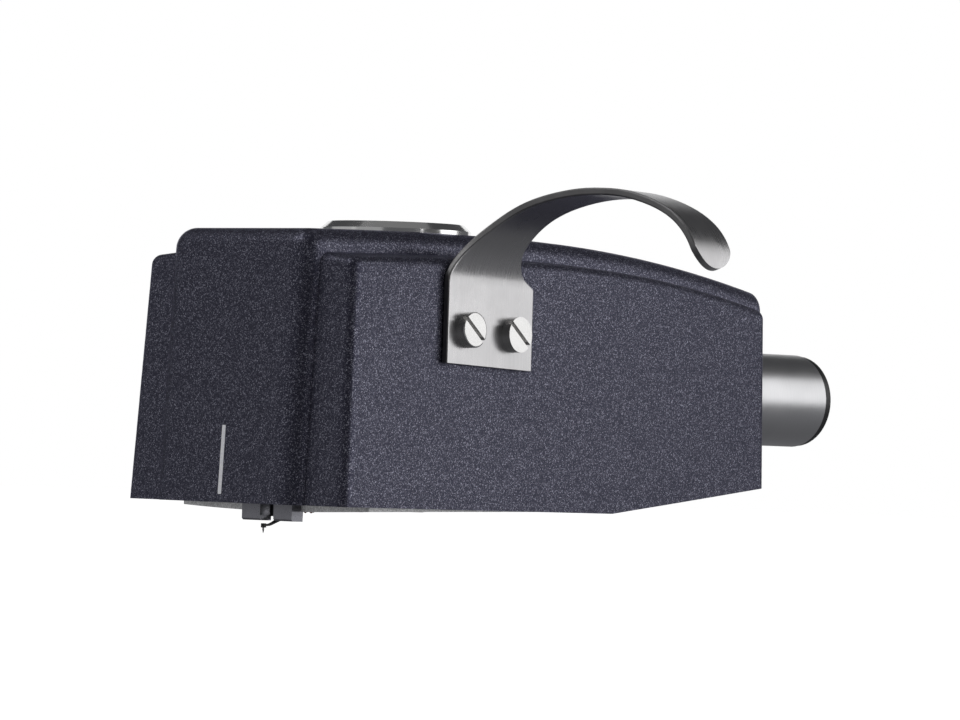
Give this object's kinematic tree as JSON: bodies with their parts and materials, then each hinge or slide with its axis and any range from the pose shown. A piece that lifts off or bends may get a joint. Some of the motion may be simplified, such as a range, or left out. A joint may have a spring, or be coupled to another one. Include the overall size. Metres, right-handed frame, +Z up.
{
  "type": "turntable phono cartridge in a bayonet headshell",
  "caption": "Moving-coil phono cartridge in a stepped dark bayonet headshell with side finger lift, round badge, grey underside plate and a stylus that moves on its suspension.",
  "frame": {"origin": "centre of the bayonet connector at the shell's rear seat face", "axes": "+X rearward along the connector towards the tonearm, +Z up, finger lift on the -Y side, stylus at the -X end"},
  "size_m": [0.07, 0.0471, 0.0286],
  "materials": {
    "shell": "dark textured lacquer with fine metallic specks",
    "plate": "light grey, bead blasted",
    "steel_screws": "turned",
    "lift_steel": "brushed along the strip",
    "lift_screws": "turned",
    "badge_metal": "polished",
    "sleeve_metal": "satin, turned",
    "black_plastic": "moulded, semi gloss",
    "bracket_plastic": "moulded",
    "pole_iron": "satin",
    "magnet": "ground cast alloy",
    "armature_iron": "bare",
    "gold": "turned",
    "copper": "enamelled wire",
    "damper": "rubber",
    "cantilever": "black anodised",
    "diamond": "polished",
    "lead_white": "insulated wire",
    "lead_blue": "insulated wire",
    "lead_red": "insulated wire",
    "lead_green": "insulated wire"
  },
  "bodies": {
    "cartridge": {"shell": "shell", "bottom_plate": "plate", "bottom_plate_screws": "steel_screws", "generator_screws": "steel_screws", "finger_lift": "lift_steel", "finger_lift_screws": "lift_screws", "badge": "badge_metal", "connector_sleeve": "sleeve_metal", "guide_pin": "sleeve_metal", "contact_insulator": "black_plastic", "generator_bracket": "bracket_plastic", "terminal_board": "bracket_plastic", "front_pole": "pole_iron", "rear_pole": "pole_iron", "magnet": "magnet", "suspension_wire": "armature_iron", "suspension_tube": "gold", "suspension_grub_screw": "steel_screws", "terminal_pins": "gold", "contact_pin_left_signal": "gold", "contact_pin_left_ground": "gold", "contact_pin_right_signal": "gold", "contact_pin_right_ground": "gold", "lead_wire_left_signal": "lead_white", "lead_wire_left_ground": "lead_blue", "lead_wire_right_signal": "lead_red", "lead_wire_right_ground": "lead_green"},
    "damper": {"damper_ring": "damper"},
    "stylus_assembly": {"cantilever": "cantilever", "stylus_tip": "diamond", "armature": "armature_iron", "coil_left": "copper", "coil_right": "copper"}
  },
  "joints": [
    {"name": "stylus_lateral", "type": "hinge", "parent": "cartridge", "child": "damper", "pos_m": [-0.0462, 0, -0.0096], "axis": [-0.4067, 0, 0.9135], "range_deg": [-3, 3], "stiffness_Nm_per_rad": 0.0053},
    {"name": "stylus_vertical", "type": "hinge", "parent": "damper", "child": "stylus_assembly", "pos_m": [-0.0462, 0, -0.0096], "axis": [0, 1, 0], "range_deg": [-1, 4], "stiffness_Nm_per_rad": 0.0053}
  ]
}
